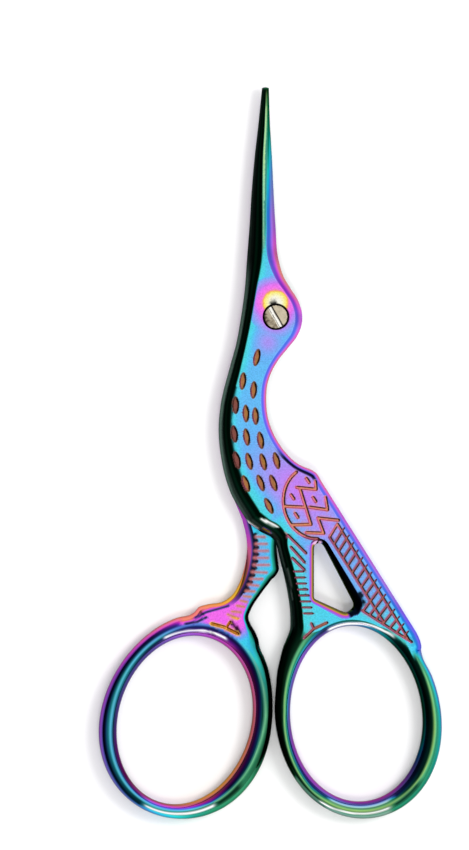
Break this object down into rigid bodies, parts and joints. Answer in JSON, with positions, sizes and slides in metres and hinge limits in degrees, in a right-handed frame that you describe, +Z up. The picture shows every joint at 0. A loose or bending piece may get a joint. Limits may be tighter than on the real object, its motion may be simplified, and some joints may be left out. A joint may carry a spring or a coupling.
{
  "type": "embroidery scissors",
  "caption": "Small bird-shaped embroidery scissors: two rainbow-plated steel halves with engraved plumage, crossing at a slotted pivot screw.",
  "frame": {"origin": "on the pivot axis, at the underside: the end face of the pivot screw's shank", "axes": "+Y along the closed blades to the tip, +Z up through the engraved front face, +X towards the front half's finger bow"},
  "size_m": [0.054, 0.115, 0.0043],
  "materials": {
    "rainbow_plating": "steel with rainbow film plating, satin on the flats and polished on the edges",
    "screw_steel": "turned and slotted, bare"
  },
  "bodies": {
    "rear": {"rear_half": "rainbow_plating", "pivot_screw": "screw_steel"},
    "front": {"front_half": "rainbow_plating"}
  },
  "joints": [
    {"name": "blade_pivot", "type": "hinge", "parent": "rear", "child": "front", "pos_m": [0, 0, 0], "axis": [0, 0, 1], "range_deg": [0, 75]}
  ]
}
